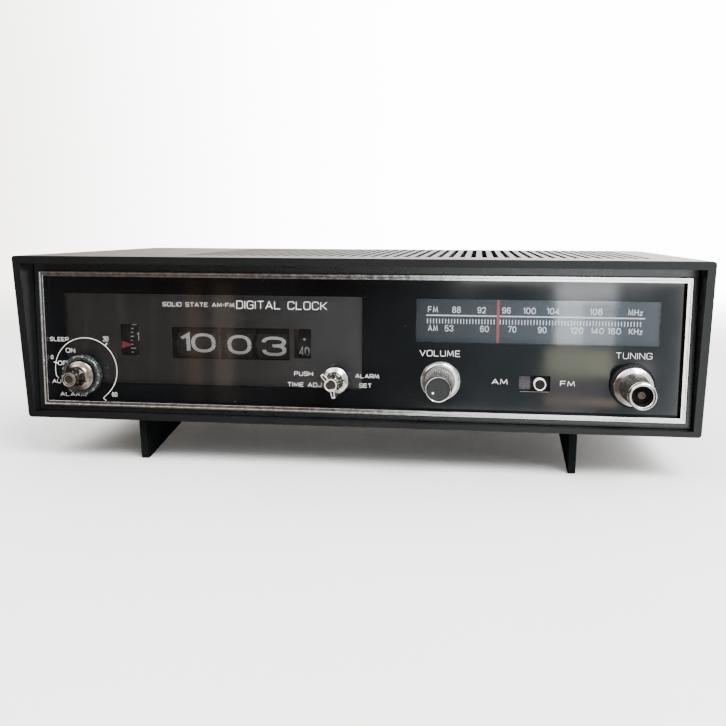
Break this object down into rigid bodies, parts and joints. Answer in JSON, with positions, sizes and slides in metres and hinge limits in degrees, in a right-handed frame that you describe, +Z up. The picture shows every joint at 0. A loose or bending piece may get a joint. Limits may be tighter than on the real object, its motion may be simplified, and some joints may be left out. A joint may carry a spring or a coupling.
{
  "type": "flip number clock radio",
  "caption": "Low table clock radio: falling-leaf digits, seconds and alarm drums, tuning scale, turning and sliding controls, slotted top, thin side runners.",
  "frame": {"origin": "middle of the whole box in X and Y, at the height of the table under the foot runners", "axes": "+X to the right as seen from the front, +Y from the front to the back, +Z up"},
  "size_m": [0.35, 0.226, 0.11],
  "materials": {
    "cabinet_plastic": "satin charcoal moulding",
    "bezel_plastic": "black satin",
    "bright_chrome": "polished",
    "panel_acrylic": "gloss black",
    "clear_lens": "smoked clear",
    "mask_paint": "matt dark grey",
    "dial_black": "matt black",
    "pointer_red": "red",
    "knob_plastic": "knurled dark grey",
    "smoke_plastic": "smoky clear",
    "leaf_plastic": "matt black",
    "drum_plastic": "matt dark grey",
    "plate_steel": "zinc plated",
    "works_brass": "turned",
    "motor_can": "grey",
    "board_laminate": "paper laminate",
    "coil_can": "drawn can",
    "capacitor_sleeve": "blue sleeve",
    "core_iron": "varnished core",
    "speaker_steel": "black",
    "cone_paper": "pulp",
    "ferrite": "dark ferrite",
    "cord_nylon": "braided dial cord",
    "lamp_glass": "clear",
    "print_white": "matt white print",
    "gland_rubber": "matt"
  },
  "bodies": {
    "cabinet": {"alarm_pointer": "pointer_red", "band_switch_body": "plate_steel", "cabinet_screws": "plate_steel", "cabinet_shell": "cabinet_plastic", "chassis_tray": "plate_steel", "chrome_trim": "bright_chrome", "circuit_board": "board_laminate", "clock_arbors": "plate_steel", "clock_frame_plates": "plate_steel", "clock_motor": "motor_can", "clock_window": "clear_lens", "cord_pulleys": "plate_steel", "dial_backing": "dial_black", "dial_cord": "cord_nylon", "dial_lamps": "lamp_glass", "dial_window": "clear_lens", "digit_mask": "mask_paint", "electrolytic_capacitors": "capacitor_sleeve", "ferrite_antenna": "ferrite", "frame_pillars": "plate_steel", "front_bezel": "bezel_plastic", "front_panel": "panel_acrylic", "if_transformers": "coil_can", "left_foot_runner": "cabinet_plastic", "pointer_rail": "plate_steel", "power_cord_gland": "gland_rubber", "power_transformer": "core_iron", "rear_cover": "cabinet_plastic", "right_foot_runner": "cabinet_plastic", "selector_switch": "bezel_plastic", "speaker_cone": "cone_paper", "speaker_frame": "speaker_steel", "tuning_capacitor": "coil_can", "volume_potentiometer": "plate_steel"},
    "volume_control": {"volume_knob": "knob_plastic", "volume_trim": "bright_chrome"},
    "tuning_control": {"tuning_knob": "knob_plastic", "tuning_trim": "bright_chrome", "tuning_shaft": "plate_steel"},
    "dial_pointer": {"dial_pointer": "pointer_red"},
    "tuning_rotor": {"capacitor_rotor": "coil_can", "cord_drum": "drum_plastic"},
    "selector_knob": {"selector_knob": "bright_chrome"},
    "sleep_ring": {"sleep_ring": "smoke_plastic"},
    "setting_gear": {"setting_gear": "works_brass"},
    "time_set_knob": {"time_set_knob": "bright_chrome"},
    "set_shaft": {"set_shaft": "works_brass"},
    "alarm_drum": {"alarm_drum": "drum_plastic"},
    "seconds_drum": {"seconds_drum": "drum_plastic"},
    "motor_pinion": {"motor_pinion": "works_brass"},
    "units_drum": {"units_drum": "drum_plastic", "units_leaves": "leaf_plastic"},
    "tens_drum": {"tens_drum": "drum_plastic", "tens_leaves": "leaf_plastic"},
    "hour_drum": {"hour_drum": "drum_plastic", "hour_leaves": "leaf_plastic"},
    "units_falling_leaf": {"units_falling_leaf": "leaf_plastic"},
    "tens_falling_leaf": {"tens_falling_leaf": "leaf_plastic"},
    "hour_falling_leaf": {"hour_falling_leaf": "leaf_plastic"},
    "band_switch_button": {"band_switch_button": "bright_chrome"}
  },
  "joints": [
    {"name": "volume_turn", "type": "hinge", "parent": "cabinet", "child": "volume_control", "pos_m": [0.0461, -0.0834, 0.0474], "axis": [0, 1, 0], "range_deg": [0, 300]},
    {"name": "tuning_turn", "type": "hinge", "parent": "cabinet", "child": "tuning_control", "pos_m": [0.1418, -0.0834, 0.0474], "axis": [0, 1, 0], "range_deg": [-585.11, 1255.3]},
    {"name": "pointer_slide", "type": "slide", "parent": "cabinet", "child": "dial_pointer", "axis": [1, 0, 0], "range_m": [-0.03375, 0.07235]},
    {"name": "tuning_rotor_turn", "type": "hinge", "parent": "cabinet", "child": "tuning_rotor", "pos_m": [0.1, -0.055, 0.064], "axis": [0, 1, 0], "range_deg": [-57.5, 123.1]},
    {"name": "selector_turn", "type": "hinge", "parent": "cabinet", "child": "selector_knob", "pos_m": [-0.1463, -0.085, 0.046], "axis": [0, 1, 0], "range_deg": [-40, 78]},
    {"name": "sleep_turn", "type": "hinge", "parent": "cabinet", "child": "sleep_ring", "pos_m": [-0.1463, -0.085, 0.046], "axis": [0, 1, 0], "range_deg": [0, 205]},
    {"name": "time_set_turn", "type": "hinge", "parent": "cabinet", "child": "setting_gear", "pos_m": [-0.0083, -0.045, 0.0465], "axis": [0, 1, 0], "continuous": true},
    {"name": "time_set_push", "type": "slide", "parent": "setting_gear", "child": "time_set_knob", "axis": [0, 1, 0], "range_m": [0, 0.003], "stiffness_N_per_m": 250, "springref_m": -0.001},
    {"name": "set_shaft_turn", "type": "hinge", "parent": "cabinet", "child": "set_shaft", "pos_m": [-0.06, -0.033, 0.0465], "axis": [1, 0, 0], "continuous": true},
    {"name": "alarm_turn", "type": "hinge", "parent": "cabinet", "child": "alarm_drum", "pos_m": [-0.12, -0.0454, 0.062], "axis": [1, 0, 0], "continuous": true},
    {"name": "seconds_turn", "type": "hinge", "parent": "cabinet", "child": "seconds_drum", "pos_m": [-0.027, -0.0564, 0.062], "axis": [1, 0, 0], "continuous": true},
    {"name": "motor_turn", "type": "hinge", "parent": "cabinet", "child": "motor_pinion", "pos_m": [-0.02, -0.04777, 0.07063], "axis": [1, 0, 0], "continuous": true},
    {"name": "units_turn", "type": "hinge", "parent": "cabinet", "child": "units_drum", "pos_m": [-0.045, -0.0645, 0.062], "axis": [1, 0, 0], "continuous": true},
    {"name": "tens_turn", "type": "hinge", "parent": "cabinet", "child": "tens_drum", "pos_m": [-0.064, -0.0645, 0.062], "axis": [1, 0, 0], "continuous": true},
    {"name": "hours_turn", "type": "hinge", "parent": "cabinet", "child": "hour_drum", "pos_m": [-0.087, -0.0645, 0.062], "axis": [1, 0, 0], "continuous": true},
    {"name": "units_leaf_fall", "type": "hinge", "parent": "units_drum", "child": "units_falling_leaf", "pos_m": [-0.045, -0.069, 0.062], "axis": [1, 0, 0], "range_deg": [0, 180]},
    {"name": "tens_leaf_fall", "type": "hinge", "parent": "tens_drum", "child": "tens_falling_leaf", "pos_m": [-0.064, -0.069, 0.062], "axis": [1, 0, 0], "range_deg": [0, 180]},
    {"name": "hour_leaf_fall", "type": "hinge", "parent": "hour_drum", "child": "hour_falling_leaf", "pos_m": [-0.087, -0.069, 0.062], "axis": [1, 0, 0], "range_deg": [0, 180]},
    {"name": "band_slide", "type": "slide", "parent": "cabinet", "child": "band_switch_button", "axis": [1, 0, 0], "range_m": [-0.0051, 0]}
  ],
  "couplings": [
    {"joint": "pointer_slide", "follows": "tuning_turn", "m_per_rad": 0.0033},
    {"joint": "tuning_rotor_turn", "follows": "tuning_turn", "ratio": 0.097923},
    {"joint": "set_shaft_turn", "follows": "time_set_turn", "ratio": -1.75},
    {"joint": "alarm_turn", "follows": "time_set_turn", "ratio": 0.58333},
    {"joint": "motor_turn", "follows": "seconds_turn", "ratio": -3},
    {"joint": "units_turn", "follows": "seconds_turn", "ratio": 0.1},
    {"joint": "tens_turn", "follows": "seconds_turn", "ratio": 0.0083333},
    {"joint": "hours_turn", "follows": "seconds_turn", "ratio": 0.0013889}
  ]
}
